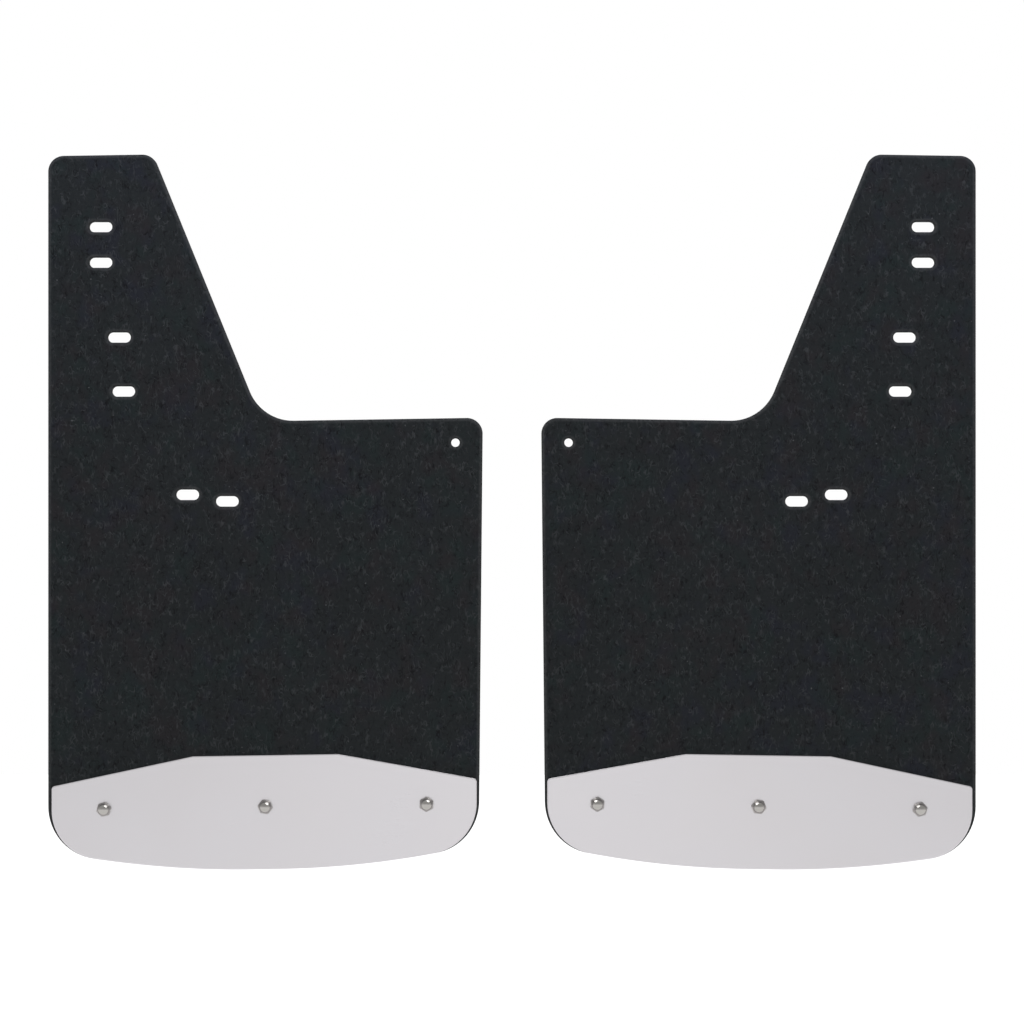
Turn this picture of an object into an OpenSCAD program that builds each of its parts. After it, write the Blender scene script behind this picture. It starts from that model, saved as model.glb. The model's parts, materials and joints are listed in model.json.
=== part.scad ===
// A pair of truck mud flaps: rubber sheets with slotted mounting tabs and steel weight plates.
// Millimetres. X runs across the truck, +Y towards its front and +Z up. The origin is midway
// between the flaps, on their back faces, at the centre of the four upper slots.
// Each flap is drawn once, as the left one, with u measured inwards from its outer edge and
// v upwards from its hem. The right one is its mirror image.

/* [Rubber sheet] */
// Width of a flap
flap_w = 304.8; // [280:0.1:340]
// Height from the hem to the top of the tab
flap_h = 502.5; // [470:0.1:560]
// Thickness of the rubber
rubber_t = 9.5; // [6:0.5:12]
// Clear distance between the two flaps
flap_gap = 41; // [20:0.1:400]
// Width of the tab along its top
tab_top_w = 73.4; // [70:0.1:90]
// Distance from the outer edge to where the tab's sloping side meets the ledge
tab_foot_u = 149.6; // [130:0.1:180]
// Height of the ledge beside the tab
ledge_v = 314.2; // [300:0.1:330]
// Rise of every level edge towards the inner side, in degrees
edge_rise = 0.9; // [0:0.1:1.5]
// How much narrower the flap is at its hem
hem_taper = 2.8; // [0:0.1:4]
// Radius of the outer corners of the tab and the ledge
top_corner_r = 11; // [4:0.5:16]
// Radius of the inside corner between tab and ledge
ledge_fillet_r = 33; // [10:1:60]
// Radius of the two bottom corners
hem_corner_r = 37; // [20:1:50]
// Distance between the two bends of the hem
hem_bend_pitch = 126; // [110:1:150]
// Slope of the hem beyond its bends, in degrees
hem_slope = 9; // [0:0.1:10]
// Radius of the bends, which take up most of the hem
hem_bend_r = 650; // [50:10:700]

/* [Slots and hole] */
// End to end length of a slot
slot_l = 16.2; // [12:0.1:20]
// Width of a slot
slot_w = 7.3; // [6:0.1:9]
// Distance of the two upper slots from the outer edge
upper_slot_u = 36.8; // [30:0.1:45]
// Height of the middle of the two upper slots
upper_slot_v = 437.9; // [430:0.1:445]
// Spacing of the two upper slots
upper_slot_pitch = 25; // [22:0.5:30]
// Distances of the two tab slots from the outer edge
tab_slot_u = [49.8, 52.8];
// Heights of the two tab slots
tab_slot_v = [372.9, 335];
// Distances of the two centre slots from the outer edge
centre_slot_u = [97.7, 125.5];
// Heights of the two centre slots
centre_slot_v = [262.5, 257.9];
// Diameter of the round corner hole
corner_hole_d = 6; // [5:0.1:9]
// Distance of the corner hole from the inner edge
corner_hole_inset = 19.2; // [16:0.5:30]
// Distance of the corner hole below the ledge
corner_hole_drop = 17.2; // [15:0.1:30]

/* [Steel plate] */
// Thickness of the plate
plate_t = 1.2; // [0.8:0.1:2]
// Distances of the plate's outer and inner ends from the sides of the rubber
plate_insets = [2.6, 1.4];
// Height of the plate's level top
plate_top_v = 80; // [70:0.1:90]
// Heights of the plate's outer and inner ends
plate_ends_v = [60.3, 61.1];
// Length of the plate's level top
plate_flat_w = 101.6; // [80:0.1:140]
// Radius of the plate's upper corners
plate_corner_r = 2.5; // [1:0.5:5]
// Radii of the plate's outer and inner bottom corners
plate_hem_corners_r = [34, 36.5];

/* [Fasteners] */
// Height of the middle fastener
fastener_v = 43.9; // [38:0.1:50]
// Distance between neighbouring fasteners
fastener_pitch = 113; // [100:0.1:115]
// Diameter of the screws
screw_d = 4.8; // [4:0.1:5]
// Reach of the screws in front of the plate
screw_reach = 7; // [6:0.5:7]
// Diameter of the screw heads
screw_head_d = 9.4; // [8:0.1:11]
// Height of the screw heads
screw_head_h = 3.4; // [2.8:0.1:4]
// Size of the cap nuts across their flats
nut_af = 9.5; // [9:0.1:11]
// Diameter that the corners of the cap nuts are rounded off to
nut_corner_d = 10.4; // [10.4:0.1:12]
// Height of the six-sided part of the cap nuts
nut_hex_h = 4.6; // [4:0.1:5]
// Height of the cap nuts over their domes
nut_h = 9.4; // [9:0.1:10]
// Diameter of the washers
washer_d = 19; // [15:0.5:25]
// Thickness of the washers
washer_t = 1.3; // [1:0.1:2]

/* [Bend line] */
// Height of the line that the rubber bends about, below the lowest slots
bend_v = 225.7; // [150:0.1:235]

/* [Hidden] */
SIDES = ["left", "right"];
FIXINGS = [1, 2, 3];
PER_FIXING = ["cap_nut", "screw", "washer"];
$fn = 96;

outer_x = -flap_gap / 2 - flap_w;
mid_u = flap_w / 2;
pivot_y = -rubber_t / 2;
plate_face_y = -rubber_t - plate_t;
// Radial play of the screws in the nuts, the washers and the holes that they pass through.
thread_play = 0.05;
washer_play = 0.25;
hole_play = 0.4;
// Clear gap at the bend line, so that the lower sheet turns without touching the upper one.
bend_gap = 0.3;
nut_chamfer = 0.5;
dome_r = nut_af / 2 - 0.25;
recess_w = 1.4;
recess_l = 5.4;
recess_depth = 1.9;
// Length that cutters run past the face they cut through.
past = 1;
// Outlines draw their arcs in steps that turn no further than this, in degrees, and are no longer.
arc_step_turn = 5;
arc_step_l = 8;
rubber_colour = [0.14, 0.155, 0.165];
steel_colour = [0.82, 0.81, 0.83];
zinc_colour = [0.66, 0.66, 0.64];

// A point of the flap, with the rise that every level edge has towards the inner side.
function risen(u, v) = [u, v + (u - mid_u) * tan(edge_rise)];

function unit(a) = a / norm(a);

// The arc that rounds corner p, between neighbours a and b, as points.
function corner_arc(a, p, b, r) =
    let (
        to_a = unit(a - p),
        to_b = unit(b - p),
        half = acos(to_a * to_b) / 2,
        centre = p + unit(to_a + to_b) * r / sin(half),
        reach = r / tan(half),
        from = p + to_a * reach - centre,
        to = p + to_b * reach - centre,
        start = atan2(from[1], from[0]),
        raw_turn = atan2(to[1], to[0]) - start,
        turn = raw_turn > 180 ? raw_turn - 360 : raw_turn < -180 ? raw_turn + 360 : raw_turn,
        steps = ceil(max(abs(turn) / arc_step_turn, r * abs(turn) * PI / 180 / arc_step_l))
    )
    [for (i = [0 : steps]) centre + r * [cos(start + turn * i / steps), sin(start + turn * i / steps)]];

// An outline whose corners, listed as [point, radius], are rounded.
function rounded(corners) =
    let (n = len(corners))
    [for (i = [0 : n - 1]) each corner_arc(
        corners[(i + n - 1) % n][0], corners[i][0], corners[(i + 1) % n][0], corners[i][1]
    )];

// The four corners of the hem, from the outer side to the inner one. The two sides are set in by
// insets and their bottom corners have the radii corners_r.
function hem_corners(insets, corners_r) =
    let (
        inner_u = flap_w - hem_taper - insets[1],
        drop = (mid_u - hem_bend_pitch / 2) * tan(hem_slope)
    )
    [
        [risen(insets[0], drop), corners_r[0]],
        [risen(mid_u - hem_bend_pitch / 2, 0), hem_bend_r],
        [risen(mid_u + hem_bend_pitch / 2, 0), hem_bend_r],
        [risen(inner_u, drop), corners_r[1]]
    ];

module sheet_outline() {
    polygon(rounded(concat(
        [
            [risen(tab_foot_u, ledge_v), ledge_fillet_r],
            [risen(tab_top_w, flap_h), top_corner_r],
            [risen(0, flap_h), top_corner_r]
        ],
        hem_corners([0, 0], [hem_corner_r, hem_corner_r]),
        [[risen(flap_w, ledge_v), top_corner_r]]
    )));
}

module plate_outline() {
    polygon(rounded(concat(
        [
            [risen(mid_u + plate_flat_w / 2, plate_top_v), plate_corner_r],
            [risen(mid_u - plate_flat_w / 2, plate_top_v), plate_corner_r],
            [risen(plate_insets[0], plate_ends_v[0]), plate_corner_r]
        ],
        hem_corners(plate_insets, plate_hem_corners_r),
        [[risen(flap_w - hem_taper - plate_insets[1], plate_ends_v[1]), plate_corner_r]]
    )));
}

// Places a shape drawn in u and v as a slab of thickness t whose front face lies at y.
module slab(y, t) {
    translate([0, y + t, 0]) rotate([90, 0, 0]) linear_extrude(t) children();
}

// Moves from the left flap's u and v to the part's own X and Z.
module as_left_flap() {
    translate([outer_x, 0, -upper_slot_v]) children();
}

module on_side(side) {
    if (side == "left") as_left_flap() children();
    else mirror([1, 0, 0]) as_left_flap() children();
}

// Lays a child that stands on Z = 0 with its foot at height y, pointing to the truck's rear.
module at_fixing(i, y) {
    fixing = risen(mid_u + (i - 2) * fastener_pitch, fastener_v);
    translate([fixing[0], y, fixing[1]]) rotate([90, 0, 0]) children();
}

module slot(u, v) {
    half = (slot_l - slot_w) / 2;
    translate([u, past, v]) rotate([90, 0, 0]) {
        for (end = [-half, half]) translate([end, 0, 0]) cylinder(d = slot_w, h = rubber_t + 2 * past);
        translate([-half, -slot_w / 2, 0]) cube([2 * half, slot_w, rubber_t + 2 * past]);
    }
}

module slots() {
    for (level = [-0.5, 0.5]) slot(upper_slot_u, upper_slot_v + level * upper_slot_pitch);
    for (i = [0, 1]) {
        slot(tab_slot_u[i], tab_slot_v[i]);
        slot(centre_slot_u[i], centre_slot_v[i]);
    }
}

module corner_hole() {
    hole = risen(flap_w - corner_hole_inset, ledge_v - corner_hole_drop);
    translate([hole[0], past, hole[1]]) rotate([90, 0, 0])
        cylinder(d = corner_hole_d, h = rubber_t + 2 * past);
}

// The holes that the screws pass through, over everything behind the cap nuts.
module fixing_holes() {
    for (i = FIXINGS) at_fixing(i, past)
        cylinder(d = screw_d + 2 * hole_play, h = rubber_t + plate_t + 2 * past);
}

module upper_sheet() {
    cut_v = bend_v + rubber_t / 2 + bend_gap;
    color(rubber_colour) difference() {
        intersection() {
            slab(-rubber_t, rubber_t) sheet_outline();
            translate([-past, -rubber_t - past, cut_v]) cube([flap_w + 2 * past, rubber_t + 2 * past, flap_h]);
        }
        slots();
        corner_hole();
    }
}

// The sheet below the bend line, with a half-round top edge centred on that line.
module lower_sheet() {
    color(rubber_colour) difference() {
        intersection() {
            slab(-rubber_t, rubber_t) sheet_outline();
            union() {
                translate([-past, -rubber_t - past, -flap_h])
                    cube([flap_w + 2 * past, rubber_t + 2 * past, flap_h + bend_v]);
                translate([-past, pivot_y, bend_v]) rotate([0, 90, 0])
                    cylinder(d = rubber_t, h = flap_w + 2 * past);
            }
        }
        fixing_holes();
    }
}

module steel_plate() {
    color(steel_colour) difference() {
        slab(plate_face_y, plate_t) plate_outline();
        fixing_holes();
    }
}

// A blind nut: six sides with chamfered corners under a dome, and a bore open towards the plate.
module cap_nut() {
    corner_r = nut_corner_d / 2;
    shoulder_h = nut_h - dome_r;
    color(steel_colour) difference() {
        union() {
            intersection() {
                cylinder(r = nut_af / 2 / cos(30), h = nut_hex_h, $fn = 6);
                rotate_extrude() polygon([
                    [0, 0],
                    [corner_r - nut_chamfer, 0],
                    [corner_r, nut_chamfer / 2],
                    [corner_r, nut_hex_h - nut_chamfer],
                    [nut_af / 2, nut_hex_h],
                    [0, nut_hex_h]
                ]);
            }
            cylinder(r = dome_r, h = shoulder_h);
            translate([0, 0, shoulder_h]) difference() {
                sphere(r = dome_r);
                translate([0, 0, -dome_r - past]) cylinder(r = dome_r + past, h = dome_r + past);
            }
        }
        translate([0, 0, -past]) cylinder(d = screw_d + 2 * thread_play, h = screw_reach + thread_play + past);
    }
}

// A pan-head screw standing on its head, which rests on the washer.
module screw() {
    shank_l = washer_t + rubber_t + plate_t + screw_reach - thread_play;
    head_edge = 0.8;
    color(zinc_colour) difference() {
        union() {
            rotate_extrude() polygon([
                [0, 0],
                [screw_head_d / 2 - head_edge, 0],
                [screw_head_d / 2, head_edge],
                [screw_head_d / 2, screw_head_h],
                [0, screw_head_h]
            ]);
            cylinder(d = screw_d, h = screw_head_h + shank_l);
        }
        for (turn = [0, 90]) rotate(turn)
            translate([-recess_l / 2, -recess_w / 2, -past]) cube([recess_l, recess_w, recess_depth + past]);
    }
}

module washer() {
    color(zinc_colour) difference() {
        cylinder(d = washer_d, h = washer_t);
        translate([0, 0, -past]) cylinder(d = screw_d + 2 * washer_play, h = washer_t + 2 * past);
    }
}

for (side = SIDES) {
    on_side(side) upper_sheet();
    on_side(side) lower_sheet();
    on_side(side) steel_plate();
    for (i = FIXINGS) {
        on_side(side) at_fixing(i, plate_face_y) cap_nut();
        on_side(side) at_fixing(i, washer_t + screw_head_h) screw();
        on_side(side) at_fixing(i, washer_t) washer();
    }
}
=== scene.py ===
"""Looks for the mud flap pair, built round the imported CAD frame. Metres, +Z up, plates facing -Y."""

import json
import math

import bmesh
import bpy
import numpy as np
from mathutils import Matrix, Vector
from mathutils.geometry import delaunay_2d_cdt

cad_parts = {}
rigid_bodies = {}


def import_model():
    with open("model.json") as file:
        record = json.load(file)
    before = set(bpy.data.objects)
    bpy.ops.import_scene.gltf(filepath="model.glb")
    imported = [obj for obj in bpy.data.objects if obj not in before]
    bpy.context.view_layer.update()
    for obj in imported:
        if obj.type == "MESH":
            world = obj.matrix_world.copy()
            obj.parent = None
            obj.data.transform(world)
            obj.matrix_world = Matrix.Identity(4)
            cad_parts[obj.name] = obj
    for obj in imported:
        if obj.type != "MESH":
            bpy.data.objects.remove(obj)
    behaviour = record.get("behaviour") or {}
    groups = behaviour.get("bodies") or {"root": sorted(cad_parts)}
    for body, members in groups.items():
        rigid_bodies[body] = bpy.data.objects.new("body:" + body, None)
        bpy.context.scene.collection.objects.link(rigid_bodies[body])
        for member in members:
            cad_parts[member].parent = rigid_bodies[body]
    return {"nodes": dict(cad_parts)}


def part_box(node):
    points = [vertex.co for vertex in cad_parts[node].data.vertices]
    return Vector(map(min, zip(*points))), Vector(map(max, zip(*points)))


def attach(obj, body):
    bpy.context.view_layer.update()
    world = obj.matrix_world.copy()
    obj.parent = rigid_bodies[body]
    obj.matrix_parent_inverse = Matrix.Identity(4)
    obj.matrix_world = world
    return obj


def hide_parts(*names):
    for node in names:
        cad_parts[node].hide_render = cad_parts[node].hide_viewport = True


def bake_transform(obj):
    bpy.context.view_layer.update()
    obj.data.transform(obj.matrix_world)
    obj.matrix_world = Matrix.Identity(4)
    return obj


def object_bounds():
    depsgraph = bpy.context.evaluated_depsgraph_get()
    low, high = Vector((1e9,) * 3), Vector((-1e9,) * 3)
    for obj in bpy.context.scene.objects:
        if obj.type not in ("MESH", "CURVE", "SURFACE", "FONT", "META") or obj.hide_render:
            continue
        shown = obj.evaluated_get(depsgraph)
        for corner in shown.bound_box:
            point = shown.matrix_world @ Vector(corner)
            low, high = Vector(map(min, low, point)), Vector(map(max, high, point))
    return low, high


SIDES = ("left", "right")
FIXINGS = (1, 2, 3)
# Degrees that each cap nut ends up turned by, as nuts do when they are tightened.
TIGHTENED_TO = {1: 14, 2: -8, 3: 27}
MM = 0.001

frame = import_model()
cad_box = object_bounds()


# Outlines, taken from the CAD solids

def flat_loops(node, y):
    """The closed outlines, as (x, z) arrays, of a node's flat face at height y, the longest first."""
    mesh = frame["nodes"][node].data
    edge_uses = {}
    for face in mesh.polygons:
        corners = [mesh.vertices[i].co for i in face.vertices]
        if any(abs(c.y - y) > 1e-6 for c in corners):
            continue
        keys = [(round(c.x, 6), round(c.z, 6)) for c in corners]
        for a, b in zip(keys, keys[1:] + keys[:1]):
            if (b, a) in edge_uses:
                del edge_uses[(b, a)]
            else:
                edge_uses[(a, b)] = True
    after = {a: b for a, b in edge_uses}
    loops = []
    while after:
        start, point = next(iter(after.items()))
        del after[start]
        loop = [start]
        while point != start:
            loop.append(point)
            point = after.pop(point)
        loops.append(np.array(loop))
    return sorted(loops, key=lambda loop: -np.ptp(loop, axis=0).sum())


def signed_area(loop):
    x, z = loop.T
    return 0.5 * float(np.sum(x * np.roll(z, -1) - np.roll(x, -1) * z))


def turned(loop, anticlockwise):
    """The loop, turned round if needed, so that material lies on the left of outlines and holes alike."""
    return loop if (signed_area(loop) > 0) == anticlockwise else loop[::-1]


def opened_at(loop, keep):
    """The kept points of a closed loop, as one run that starts after the stretch left out."""
    start = next(i for i in range(len(loop)) if keep[i] and not keep[i - 1])
    order = [(start + i) % len(loop) for i in range(len(loop))]
    return loop[[i for i in order if keep[i]]]


def split_long_edges(loop, longest):
    points = []
    for a, b in zip(loop, np.roll(loop, -1, axis=0)):
        pieces = max(1, math.ceil(np.linalg.norm(b - a) / longest))
        points += [a + (b - a) * i / pieces for i in range(pieces)]
    return np.array(points)


def inset(loop, distance):
    """The loop moved into the material by distance, with mitred corners."""
    along = np.roll(loop, -1, axis=0) - loop
    along /= np.linalg.norm(along, axis=1)[:, None]
    left = np.stack([-along[:, 1], along[:, 0]], axis=1)
    before = np.roll(left, 1, axis=0)
    mitre = left + before
    mitre /= np.linalg.norm(mitre, axis=1)[:, None]
    return loop + mitre * distance / np.sum(mitre * left, axis=1)[:, None]


def inside(points, loop):
    """Which points lie inside a loop, by counting the edges that a ray to the right crosses."""
    x, z = points[:, 0:1], points[:, 1:2]
    x0, z0 = loop.T
    x1, z1 = np.roll(loop, -1, axis=0).T
    spans = (z0 > z) != (z1 > z)
    with np.errstate(divide="ignore", invalid="ignore"):
        crossing = x0 + (z - z0) * (x1 - x0) / (z1 - z0)
    return np.sum(spans & (x < crossing), axis=1) % 2 == 1


# Meshes

def new_object(name, bm):
    mesh = bpy.data.meshes.new(name)
    bm.to_mesh(mesh)
    bm.free()
    obj = bpy.data.objects.new(name, mesh)
    bpy.context.scene.collection.objects.link(obj)
    return obj


def finish_mesh(obj, sharp_degrees):
    """Smooth shading with sharp edges above an angle, and each point's rest place kept for the materials."""
    mesh = obj.data
    mesh.polygons.foreach_set("use_smooth", [True] * len(mesh.polygons))
    mesh.set_sharp_from_angle(angle=math.radians(sharp_degrees))
    co = np.zeros(len(mesh.vertices) * 3, np.float32)
    mesh.vertices.foreach_get("co", co)
    mesh.attributes.new("rest_place", "FLOAT_VECTOR", "POINT").data.foreach_set("vector", co)


def grid_points(outer, holes, pitch, clear):
    """A staggered grid of points inside the outline, clear of its edges and holes."""
    low, high = outer.min(0), outer.max(0)
    row_pitch = pitch * math.sqrt(3) / 2
    rows = []
    for i, z in enumerate(np.arange(low[1] + pitch / 2, high[1], row_pitch)):
        x = np.arange(low[0] + pitch * (0.5 if i % 2 else 1.0), high[0], pitch)
        rows.append(np.stack([x, np.full(len(x), z)], axis=1))
    points = np.concatenate(rows)
    keep = inside(points, inset(outer, clear))
    for hole in holes:
        keep &= ~inside(points, inset(hole, clear))
    return points[keep]


def cap_faces(loops, pitch):
    """Triangles that fill the first loop, less the others, as (points, faces)."""
    outer, holes = loops[0], loops[1:]
    points, edges = [], []
    for loop in loops:
        first = len(points)
        points += [Vector(p) for p in loop]
        edges += [(first + i, first + (i + 1) % len(loop)) for i in range(len(loop))]
    points += [Vector(p) for p in grid_points(outer, holes, pitch, pitch * 0.45)]
    made, _, faces, _, _, _ = delaunay_2d_cdt(points, edges, [], 1, 1e-9)
    made = np.array([tuple(p) for p in made])
    centres = np.array([made[list(face)].mean(0) for face in faces])
    keep = inside(centres, outer)
    for hole in holes:
        keep &= ~inside(centres, hole)
    return made, [face for face, kept in zip(faces, keep) if kept]


def slab(name, loops, y_front, y_back, rim_r, rim_steps, band, pitch):
    """A flat slab with rounded rims: loops[0] is its outline and the others are its holes.
    Each point carries a mask for a painted rim highlight, partly edge scuffing: 1 where a face meets its
    rims, and 0 on the walls and band further in."""
    bm = bmesh.new()
    # The last number of each section is the painted rim highlight, which also stands for scuffed edges.
    rim_highlight_layer = bm.verts.layers.float.new("edge_wear")
    rim = [math.pi / 2 * i / rim_steps for i in range(rim_steps + 1)]
    sections = [(rim_r + band, 0.0, 0.0)]
    sections += [(rim_r * (1 - math.sin(a)), rim_r * (1 - math.cos(a)), math.cos(a)) for a in rim]
    sections = [(depth, y_front + drop, highlight_and_scuff) for depth, drop, highlight_and_scuff in sections] + [
        (depth, y_back - drop, highlight_and_scuff) for depth, drop, highlight_and_scuff in reversed(sections)
    ]
    for loop in loops:
        rings = []
        for depth, y, highlight_and_scuff in sections:
            ring = [bm.verts.new((x, y, z)) for x, z in inset(loop, depth)]
            for vert in ring:
                vert[rim_highlight_layer] = highlight_and_scuff
            rings.append(ring)
        for ring, following in zip(rings, rings[1:]):
            for i in range(len(ring)):
                j = (i + 1) % len(ring)
                bm.faces.new((ring[i], ring[j], following[j], following[i]))
    points, faces = cap_faces([inset(loop, rim_r + band) for loop in loops], pitch)
    for y in (y_front, y_back):
        verts = [bm.verts.new((x, y, z)) for x, z in points]
        for face in faces:
            bm.faces.new([verts[i] for i in face])
    bmesh.ops.remove_doubles(bm, verts=bm.verts, dist=2e-6)
    bmesh.ops.recalc_face_normals(bm, faces=bm.faces)
    return new_object(name, bm)


def revolve(bm, profile, steps, radius_at=None):
    """A closed solid of revolution about Z from (r, z) stations that start and end on the axis.
    radius_at(angle, r, z) may reshape each ring."""
    rings = []
    for r, z in profile:
        if r < 1e-9:
            rings.append([bm.verts.new((0, 0, z))])
            continue
        ring = []
        for i in range(steps):
            angle = 2 * math.pi * i / steps
            rr = radius_at(angle, r, z) if radius_at else r
            ring.append(bm.verts.new((rr * math.cos(angle), rr * math.sin(angle), z)))
        rings.append(ring)
    for low, high in zip(rings, rings[1:]):
        for i in range(steps):
            j = (i + 1) % steps
            corners = [low[i % len(low)], low[j % len(low)], high[j % len(high)], high[i % len(high)]]
            unique = list(dict.fromkeys(corners))
            if len(unique) > 2:
                bm.faces.new(unique)
    bmesh.ops.recalc_face_normals(bm, faces=bm.faces)


def arc(centre_r, centre_z, radius, start, end, steps):
    """Stations of a round stretch of a profile, with angles in degrees from the r axis."""
    angles = [math.radians(start + (end - start) * i / steps) for i in range(steps + 1)]
    return [(centre_r + radius * math.cos(a), centre_z + radius * math.sin(a)) for a in angles]


def stand_on(obj, x, y, z, rearward):
    """Turns a piece made along +Z to point along -Y (rearward) or +Y, with its foot at (x, y, z)."""
    turn = Matrix.Rotation(math.radians(90 if rearward else -90), 4, "X")
    obj.data.transform(Matrix.Translation((x, y, z)) @ turn)


# Materials

class Nodes:
    """Small helpers for one material's node tree."""

    def __init__(self, name):
        self.material = bpy.data.materials.new(name)
        self.material.use_nodes = True
        self.tree = self.material.node_tree
        self.shader = self.tree.nodes["Principled BSDF"]

    def add(self, kind, **settings):
        node = self.tree.nodes.new(kind)
        for key, value in settings.items():
            setattr(node, key, value)
        return node

    def link(self, source, target):
        self.tree.links.new(source, target)

    def set(self, **values):
        for key, value in values.items():
            self.shader.inputs[key.replace("_", " ")].default_value = value

    def attribute(self, name, output):
        return self.add("ShaderNodeAttribute", attribute_name=name).outputs[output]

    def place(self, scale, turn=(0, 0, 0), shift=(0, 0, 0)):
        """The point's rest place in metres, turned, scaled and then shifted."""
        mapping = self.add("ShaderNodeMapping")
        mapping.inputs["Location"].default_value = shift
        mapping.inputs["Rotation"].default_value = [math.radians(a) for a in turn]
        mapping.inputs["Scale"].default_value = scale
        self.link(self.attribute("rest_place", "Vector"), mapping.inputs["Vector"])
        return mapping.outputs["Vector"]

    def noise(self, vector, detail=2.0, roughness=0.5):
        node = self.add("ShaderNodeTexNoise")
        node.inputs["Scale"].default_value = 1
        node.inputs["Detail"].default_value = detail
        node.inputs["Roughness"].default_value = roughness
        self.link(vector, node.inputs["Vector"])
        return node.outputs["Fac"]

    def span(self, value, low, high, to_low=0.0, to_high=1.0):
        """The value, spread from low..high to to_low..to_high, and held at their ends."""
        node = self.add("ShaderNodeMapRange")
        node.inputs["From Min"].default_value = low
        node.inputs["From Max"].default_value = high
        node.inputs["To Min"].default_value = to_low
        node.inputs["To Max"].default_value = to_high
        self.link(value, node.inputs["Value"])
        return node.outputs["Result"]

    def math(self, operation, a, b):
        node = self.add("ShaderNodeMath", operation=operation)
        for socket, value in zip(node.inputs, (a, b)):
            if isinstance(value, (int, float)):
                socket.default_value = value
            else:
                self.link(value, socket)
        return node.outputs["Value"]

    def mix(self, factor, a, b):
        node = self.add("ShaderNodeMix", data_type="RGBA")
        self.link(factor, node.inputs["Factor"])
        for name, value in (("A", a), ("B", b)):
            socket = [s for s in node.inputs if s.name == name and s.type == "RGBA"][0]
            if isinstance(value, tuple):
                socket.default_value = (*value, 1)
            else:
                self.link(value, socket)
        return [s for s in node.outputs if s.type == "RGBA"][0]

    def bump(self, height, distance):
        node = self.add("ShaderNodeBump")
        node.inputs["Strength"].default_value = 1
        node.inputs["Distance"].default_value = distance
        self.link(height, node.inputs["Height"])
        self.link(node.outputs["Normal"], self.shader.inputs["Normal"])


def fibres(n, across, along, turn, thickness, seed):
    """Short curved strokes: stretches of the contour lines of one noise, fading in and out with another.
    across and along are the sizes of its cells in mm, turn is in degrees and thickness is in mm too."""
    cells = (1 / (across * MM), 1 / (across * MM), 1 / (along * MM))
    field = n.noise(n.place(cells, (0, turn, 0), (seed, 0, seed)), detail=1.0)
    off_line = n.math("ABSOLUTE", n.math("SUBTRACT", field, 0.5), 0)
    usual_change_in_half_a_cell = 0.12
    half = usual_change_in_half_a_cell * thickness / across
    line = n.span(off_line, 1.4 * half, 0.6 * half)
    stroke_cells = (210, 210, 150)
    gate = n.noise(n.place(stroke_cells, (0, turn, 0), (0, seed, seed)), detail=1.0)
    return n.math("MULTIPLY", line, n.span(gate, 0.54, 0.74))


def strongest(n, layers):
    """Several layers of fibres as one, each given as (across, along, turn, thickness, seed)."""
    top = fibres(n, *layers[0])
    for layer in layers[1:]:
        top = n.math("MAXIMUM", top, fibres(n, *layer))
    return top


def rubber_material():
    """Black moulded rubber, full of short fibres, softly mottled, with a painted highlight along its rounded
    rims that partly stands for scuffed edges.
    """
    n = Nodes("fibre_rubber")
    n.set(Roughness=0.74, Specular_IOR_Level=0.10)
    black, softer_black = (0.0072, 0.0090, 0.0094), (0.0101, 0.0122, 0.0130)
    bluish, greenish, reddish = (0.0088, 0.0098, 0.0160), (0.0072, 0.0132, 0.0128), (0.0124, 0.0100, 0.0112)
    dark_fibre, pale_fibre = (0.0020, 0.0022, 0.0028), (0.0400, 0.0424, 0.0440)
    grain_grey, speck_grey = (0.0288, 0.0296, 0.0304), (0.0720, 0.0744, 0.0760)
    # The grey of the painted rim highlight, partly scuffed edges.
    highlight_and_scuff_grey = (0.0384, 0.0392, 0.0400)
    fibre_relief, relief_depth = 0.45, 0.4 * MM
    grain = n.noise(n.place((420, 420, 420)), detail=3, roughness=0.65)
    pale = strongest(n, ((3.2, 7.0, 6, 0.9, 1.7), (3.6, 6.0, 84, 0.9, 5.3), (3.4, 4.6, -38, 0.8, 9.1)))
    dark = strongest(n, ((3.4, 7.0, -4, 1.0, 12.9), (3.2, 5.6, 95, 1.0, 17.3), (3.0, 4.2, 40, 0.9, 23.7)))
    specks = n.span(n.noise(n.place((520, 520, 520), (0, 15, 0)), detail=0.5), 0.76, 0.84)
    base = n.mix(n.noise(n.place((11, 11, 9)), detail=2), black, softer_black)
    for turn, tint in ((20, bluish), (50, greenish), (75, reddish)):
        patches = n.noise(n.place((55, 55, 48), (0, turn, 0), (turn, 0, 0)), detail=2)
        base = n.mix(n.span(patches, 0.52, 0.68, 0.0, 0.6), base, tint)
    base = n.mix(n.span(grain, 0.30, 0.70, 0.0, 0.16), base, grain_grey)
    base = n.mix(n.span(dark, 0, 1, 0, 0.8), base, dark_fibre)
    base = n.mix(n.span(pale, 0, 1, 0, 0.5), base, pale_fibre)
    base = n.mix(n.span(specks, 0, 1, 0, 0.8), base, speck_grey)
    # Painted rim highlight, partly scuffing: a paler grey where faces meet the rounded rims, broken up by the
    # grain.
    highlight_and_scuff = n.math("MULTIPLY", n.attribute("edge_wear", "Fac"), n.span(grain, 0.30, 0.62, 0.25, 1.0))
    base = n.mix(n.span(highlight_and_scuff, 0, 1, 0, 0.75), base, highlight_and_scuff_grey)
    n.link(base, n.shader.inputs["Base Color"])
    height = n.math("ADD", n.math("MULTIPLY", grain, 0.5), n.math("MULTIPLY", pale, fibre_relief))
    height = n.math("SUBTRACT", height, n.math("MULTIPLY", dark, fibre_relief))
    n.bump(height, relief_depth)
    return n.material


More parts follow.
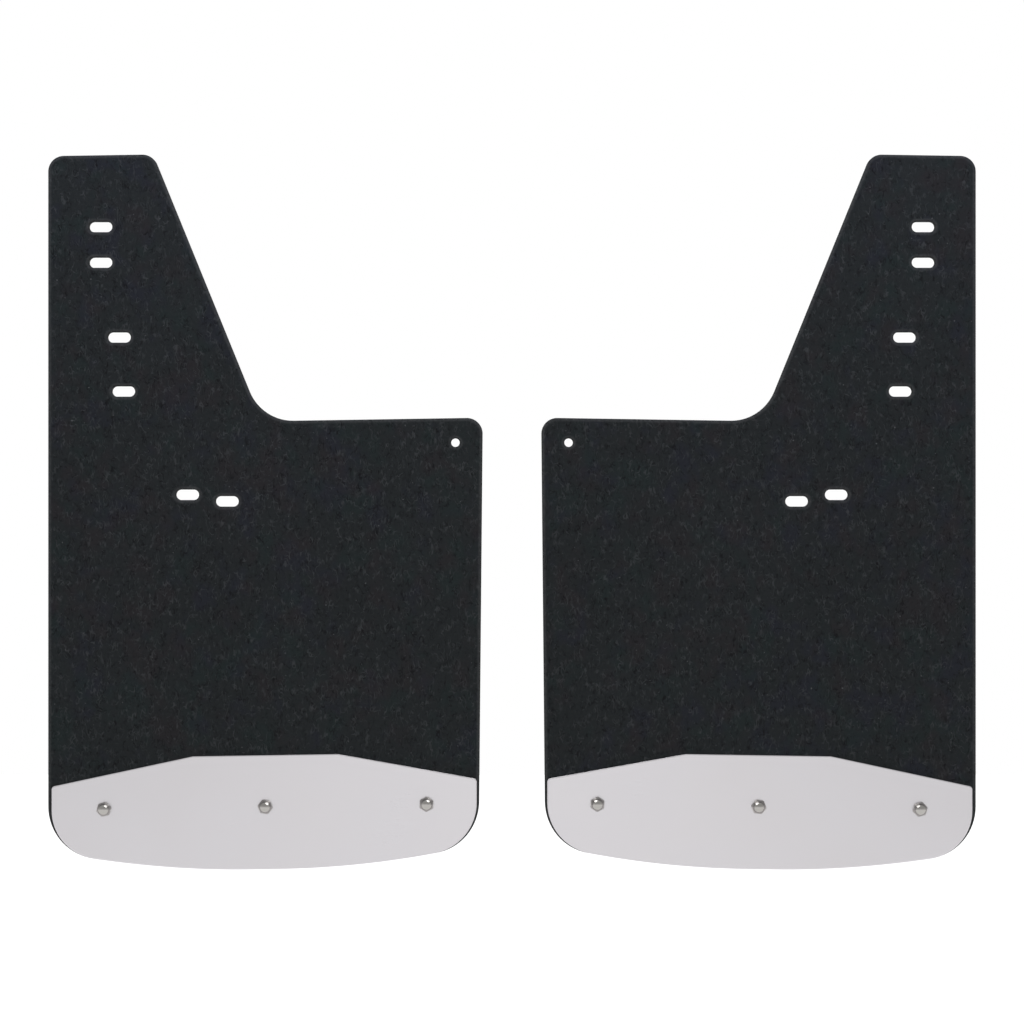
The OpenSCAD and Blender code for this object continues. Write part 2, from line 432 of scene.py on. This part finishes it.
def steel_material(name, colour, roughness, lines=0.0):
    """Bright steel, slightly cloudy, with fine cross lines in its gloss. lines is their depth in relief."""
    n = Nodes(name)
    n.set(Metallic=1.0)
    cloud_dim = (0.93, 0.92, 0.905)
    fine = n.noise(n.place((60, 900, 2600)), detail=3, roughness=0.7)
    cloud = n.noise(n.place((16, 16, 16)), detail=2)
    dark = tuple(c * dim for c, dim in zip(colour, cloud_dim))
    n.link(n.mix(cloud, dark, colour), n.shader.inputs["Base Color"])
    rough = n.math("ADD", n.span(fine, 0.3, 0.7, -0.012, 0.012), n.span(cloud, 0.3, 0.7, -0.02, 0.02))
    n.link(n.math("ADD", rough, roughness), n.shader.inputs["Roughness"])
    if lines:
        n.bump(fine, lines)
    return n.material


RUBBER = rubber_material()
PLATE_STEEL = steel_material("satin_stainless", (0.571, 0.557, 0.580), 0.25, lines=0.0004 * MM)
NUT_STEEL = steel_material("polished_stainless", (0.40, 0.388, 0.372), 0.16)
PLATED_STEEL = steel_material("zinc_plated_steel", (0.58, 0.58, 0.55), 0.30, lines=0.004 * MM)


# The rubber sheets

def rubber_sheet(side):
    """One flap's sheet in a single piece. CAD splits it at the bend line."""
    low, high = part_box(f"{side}_upper_sheet")
    upper = flat_loops(f"{side}_upper_sheet", low.y)
    lower = flat_loops(f"{side}_lower_sheet", low.y)
    upper_outline = turned(upper[0], True)
    lower_outline = turned(lower[0], True)
    above = upper_outline[:, 1] > upper_outline[:, 1].min() + 1e-5
    below = lower_outline[:, 1] < lower_outline[:, 1].max() - 1e-5
    outline = np.concatenate([opened_at(upper_outline, above), opened_at(lower_outline, below)])
    holes = [turned(loop, False) for loop in upper[1:] + lower[1:]]
    loops = [split_long_edges(outline, 5 * MM)] + holes
    sheet = slab(
        f"{side}_rubber_sheet", loops, low.y, high.y,
        rim_r=1.3 * MM, rim_steps=4, band=1.4 * MM, pitch=7 * MM,
    )
    sheet.data.materials.append(RUBBER)
    finish_mesh(sheet, 60)
    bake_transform(sheet)
    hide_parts(f"{side}_upper_sheet", f"{side}_lower_sheet")


# The plates and their fasteners

def steel_plate(side):
    node = f"{side}_steel_plate"
    low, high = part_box(node)
    loops = flat_loops(node, low.y)
    outline = split_long_edges(turned(loops[0], True), 8 * MM)
    holes = [turned(loop, False) for loop in loops[1:]]
    plate = slab(
        f"{side}_weight_plate", [outline] + holes, low.y, high.y,
        rim_r=0.3 * MM, rim_steps=3, band=0.8 * MM, pitch=12 * MM,
    )
    plate.data.materials.append(PLATE_STEEL)
    finish_mesh(plate, 60)
    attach(plate, f"{side}_hem")
    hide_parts(node)


def cap_nut(side, i):
    """A hex nut under a dome, standing on the plate. Its sides are clipped by a cone at both ends."""
    node = f"{side}_cap_nut_{i}"
    low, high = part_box(node)
    centre = (low + high) / 2
    flat_r = (high.z - low.z) / 2
    corner_r = (high.x - low.x) / 2
    height = high.y - low.y
    hex_h = 0.47 * height
    dome_r = 0.945 * flat_r
    neck_r = 0.25 * MM
    bore_r, bore_depth = 2.45 * MM, 7.0 * MM
    top_chamfer, foot_chamfer = 0.95 * MM, 0.30 * MM
    top_r = 0.985 * flat_r
    shoulder = height - dome_r

    def hex_radius(angle, r, z):
        """Rings in the six-sided part follow the hexagon, but never reach past r."""
        if z > hex_h + 1e-7 or r < 0.97 * flat_r:
            return r
        off_flat = (angle % (math.pi / 3)) - math.pi / 6
        return min(r, flat_r / math.cos(off_flat))

    side_steps, chamfer_steps = 10, 5
    sides = [
        (corner_r, foot_chamfer + (hex_h - top_chamfer - foot_chamfer) * k / side_steps)
        for k in range(side_steps + 1)
    ]
    rises = [k / chamfer_steps for k in range(1, chamfer_steps + 1)]
    chamfer = [(corner_r + (top_r - corner_r) * t, hex_h - top_chamfer * (1 - t ** 1.3)) for t in rises]
    neck = arc(dome_r + neck_r, hex_h + neck_r, neck_r, 270, 180, 5)
    dome = arc(0, shoulder, dome_r, 0, 90, 18)[1:-1]
    profile = (
        [(0, bore_depth), (bore_r, bore_depth), (bore_r, 0), (corner_r - foot_chamfer, 0)]
        + sides + chamfer + neck + [(dome_r, shoulder)] + dome + [(0, height)]
    )
    bm = bmesh.new()
    revolve(bm, profile, 96, hex_radius)
    nut = new_object(f"{side}_hex_cap_nut_{i}", bm)
    nut.data.transform(Matrix.Rotation(math.radians(TIGHTENED_TO[i]), 4, "Z"))
    stand_on(nut, centre.x, high.y, centre.z, rearward=True)
    nut.data.materials.append(NUT_STEEL)
    finish_mesh(nut, 28)
    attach(nut, f"{side}_hem")
    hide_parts(node)


def cross_recess():
    """A tapered cross-shaped cutter for a screw head whose top is at zero."""
    bm = bmesh.new()
    length, width, depth, taper = 2.7 * MM, 0.62 * MM, 1.9 * MM, 0.55
    for turn in (0, 90):
        arm = bmesh.ops.create_cube(bm, size=2)["verts"]
        for v in arm:
            at_bottom = v.co.z < 0
            shrink = taper if at_bottom else 1.0
            v.co = Vector((v.co.x * length * shrink, v.co.y * width * shrink, -depth if at_bottom else MM))
        bmesh.ops.rotate(bm, verts=arm, cent=(0, 0, 0), matrix=Matrix.Rotation(math.radians(turn), 3, "Z"))
    return new_object("recess_cutter", bm)


def cut(obj, cutter):
    modifier = obj.modifiers.new("cut", "BOOLEAN")
    modifier.object = cutter
    modifier.operation = "DIFFERENCE"
    modifier.solver = "EXACT"
    modifier.use_self = True
    made = bpy.data.meshes.new_from_object(obj.evaluated_get(bpy.context.evaluated_depsgraph_get()))
    obj.modifiers.clear()
    obj.data = made
    bpy.data.objects.remove(cutter)


def machine_screw(side, i):
    """A pan-head screw with a cross recess. Its shank runs through the washer, rubber and plate."""
    node = f"{side}_screw_{i}"
    low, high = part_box(node)
    washer_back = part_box(f"{side}_washer_{i}")[1].y
    centre = (low + high) / 2
    head_r = (high.x - low.x) / 2
    head_h = high.y - washer_back
    shank_l = washer_back - low.y
    shank_r = 2.4 * MM
    edge_r = 1.1 * MM
    tip, foot_edge = 0.5 * MM, 0.15 * MM
    crown_r = (head_r - edge_r) * 3.2
    crown_z = -crown_r
    lip_angle = math.degrees(math.acos((head_r - edge_r) / crown_r))
    crown = arc(0, crown_z, crown_r, lip_angle, 90, 8)[1:-1]
    lip_z = crown_z + crown_r * math.sin(math.radians(lip_angle)) - edge_r
    lip = arc(head_r - edge_r, lip_z, edge_r, 0, lip_angle, 6)
    profile = (
        [(0, -head_h - shank_l), (shank_r - tip, -head_h - shank_l), (shank_r, -head_h - shank_l + tip)]
        + [(shank_r, -head_h), (head_r - foot_edge, -head_h), (head_r, -head_h + foot_edge)]
        + lip + crown + [(0, 0)]
    )
    bm = bmesh.new()
    revolve(bm, profile, 64)
    screw = new_object(f"{side}_pan_head_screw_{i}", bm)
    cut(screw, cross_recess())
    stand_on(screw, centre.x, high.y, centre.z, rearward=False)
    screw.data.materials.append(PLATED_STEEL)
    finish_mesh(screw, 30)
    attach(screw, f"{side}_hem")
    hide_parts(node)


def flat_washer(side, i):
    """A punched washer: rounded edges on the face that shows, and nearly square ones underneath."""
    node = f"{side}_washer_{i}"
    low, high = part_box(node)
    centre = (low + high) / 2
    outer_r = (high.x - low.x) / 2
    bore_r = 2.65 * MM
    thick = high.y - low.y
    soft, crisp = 0.45 * MM, 0.12 * MM
    profile = (
        arc(outer_r - crisp, crisp, crisp, -90, 0, 2)
        + arc(outer_r - soft, thick - soft, soft, 0, 90, 5)
        + arc(bore_r + crisp, thick - crisp, crisp, 90, 180, 2)
        + arc(bore_r + crisp, crisp, crisp, 180, 270, 2)
    )
    bm = bmesh.new()
    steps = 72
    rings = [
        [
            bm.verts.new((r * math.cos(2 * math.pi * k / steps), r * math.sin(2 * math.pi * k / steps), z))
            for k in range(steps)
        ]
        for r, z in profile
    ]
    for ring, following in zip(rings, rings[1:] + rings[:1]):
        for k in range(steps):
            m = (k + 1) % steps
            bm.faces.new((ring[k], ring[m], following[m], following[k]))
    bmesh.ops.recalc_face_normals(bm, faces=bm.faces)
    washer = new_object(f"{side}_fender_washer_{i}", bm)
    stand_on(washer, centre.x, low.y, centre.z, rearward=False)
    washer.data.materials.append(PLATED_STEEL)
    finish_mesh(washer, 40)
    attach(washer, f"{side}_hem")
    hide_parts(node)


# The studio

def camera():
    """Straight on, far enough away to look flat, with the pair in the middle of a square view."""
    low, high = cad_box
    centre = (low + high) / 2
    distance = 3.5
    view_width = 0.718
    data = bpy.data.cameras.new("camera")
    data.sensor_width = 36
    data.lens = data.sensor_width * distance / view_width
    data.clip_end = 50
    face_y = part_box("left_steel_plate")[1].y
    cam = bpy.data.objects.new("camera", data)
    cam.location = (0, face_y - distance, centre.z)
    cam.rotation_euler = (math.radians(90), 0, 0)
    bpy.context.scene.collection.objects.link(cam)
    bpy.context.scene.camera = cam


def area_light(name, place, aim, size, power, only_on=None, colour=(1, 1, 1)):
    """A softbox. only_on is the collection that it lights, where that isn't everything."""
    data = bpy.data.lights.new(name, "AREA")
    data.shape = "RECTANGLE"
    data.size, data.size_y = size
    data.energy = power
    data.color = colour
    light = bpy.data.objects.new(name, data)
    light.location = place
    light.rotation_euler = (Vector(aim) - Vector(place)).to_track_quat("-Z", "Y").to_euler()
    light.light_linking.receiver_collection = only_on
    bpy.context.scene.collection.objects.link(light)


def room():
    """The surroundings: white to the camera. Everything else meets a bright band at eye level under a
    darker ceiling, which gives bright metal something to reflect."""
    world = bpy.data.worlds.new("white_room")
    world.use_nodes = True
    bpy.context.scene.world = world
    tree = world.node_tree
    seen = tree.nodes["Background"]
    seen.inputs["Color"].default_value = (1, 1, 1, 1)
    direction = tree.nodes.new("ShaderNodeTexCoord")
    parts = tree.nodes.new("ShaderNodeSeparateXYZ")
    height = tree.nodes.new("ShaderNodeMapRange")
    height.inputs["From Min"].default_value = -1
    ramp = tree.nodes.new("ShaderNodeValToRGB")
    stops = ((0.0, 0.90), (0.50, 0.88), (0.565, 0.88), (0.63, 0.66), (0.72, 0.58), (0.90, 0.58), (1.0, 0.7))
    while len(ramp.color_ramp.elements) < len(stops):
        ramp.color_ramp.elements.new(0.5)
    for element, (position, level) in zip(ramp.color_ramp.elements, stops):
        element.position = position
        element.color = (level, level, level, 1)
    lit = tree.nodes.new("ShaderNodeBackground")
    path = tree.nodes.new("ShaderNodeLightPath")
    mix = tree.nodes.new("ShaderNodeMixShader")
    tree.links.new(direction.outputs["Generated"], parts.inputs["Vector"])
    tree.links.new(parts.outputs["Z"], height.inputs["Value"])
    tree.links.new(height.outputs["Result"], ramp.inputs["Fac"])
    tree.links.new(ramp.outputs["Color"], lit.inputs["Color"])
    tree.links.new(path.outputs["Is Camera Ray"], mix.inputs["Fac"])
    tree.links.new(lit.outputs["Background"], mix.inputs[1])
    tree.links.new(seen.outputs["Background"], mix.inputs[2])
    tree.links.new(mix.outputs["Shader"], tree.nodes["World Output"].inputs["Surface"])


def studio(flaps):
    """A lit white floor below the hanging flaps, the room, and softboxes in front of and above them."""
    bpy.context.scene.view_settings.view_transform = "Standard"
    low, high = cad_box
    bm = bmesh.new()
    bmesh.ops.create_grid(bm, x_segments=1, y_segments=1, size=6)
    floor = new_object("floor", bm)
    floor_drop = 0.25
    floor.location = (0, 0, low.z - floor_drop)
    pale = Nodes("lit_white_floor")
    pale.set(Base_Color=(0.86, 0.86, 0.86, 1), Roughness=0.9)
    pale.set(Emission_Color=(1, 1, 1, 1), Emission_Strength=0.7)
    floor.data.materials.append(pale.material)
    room()
    bluish_white = (0.84, 0.95, 1.35)
    plate_height = low.z + 0.05
    area_light("front", (0, -4.6, low.z + 0.1), (0, 0, plate_height), size=(0.7, 0.7), power=0.9)
    for side, pieces in flaps.items():
        inwards = 1 if side == "left" else -1
        middle = -inwards * high.x / 2
        above = (middle + inwards * 0.74, -0.25, low.z + 1.4)
        area_light(f"{side}_key", above, (middle, 0, plate_height), size=(1.1, 1.1), power=14, only_on=pieces)
        sheet_only = bpy.data.collections.new(f"{side}_sheet_only")
        sheet_only.objects.link(bpy.data.objects[f"{side}_rubber_sheet"])
        above_tab = (-inwards * (high.x - 0.02), -0.34, high.z + 0.48)
        tab_top = (-inwards * 0.27, 0, high.z)
        area_light(
            f"{side}_top", above_tab, tab_top, size=(0.3, 0.3), power=1.9,
            only_on=sheet_only, colour=bluish_white,
        )


camera()
flaps = {}
for side in SIDES:
    flaps[side] = bpy.data.collections.new(f"{side}_flap")
    rubber_sheet(side)
    steel_plate(side)
    for i in FIXINGS:
        cap_nut(side, i)
        machine_screw(side, i)
        flat_washer(side, i)
    for obj in bpy.context.scene.objects:
        if obj.name.startswith(side) and obj.type == "MESH":
            flaps[side].objects.link(obj)
studio(flaps)
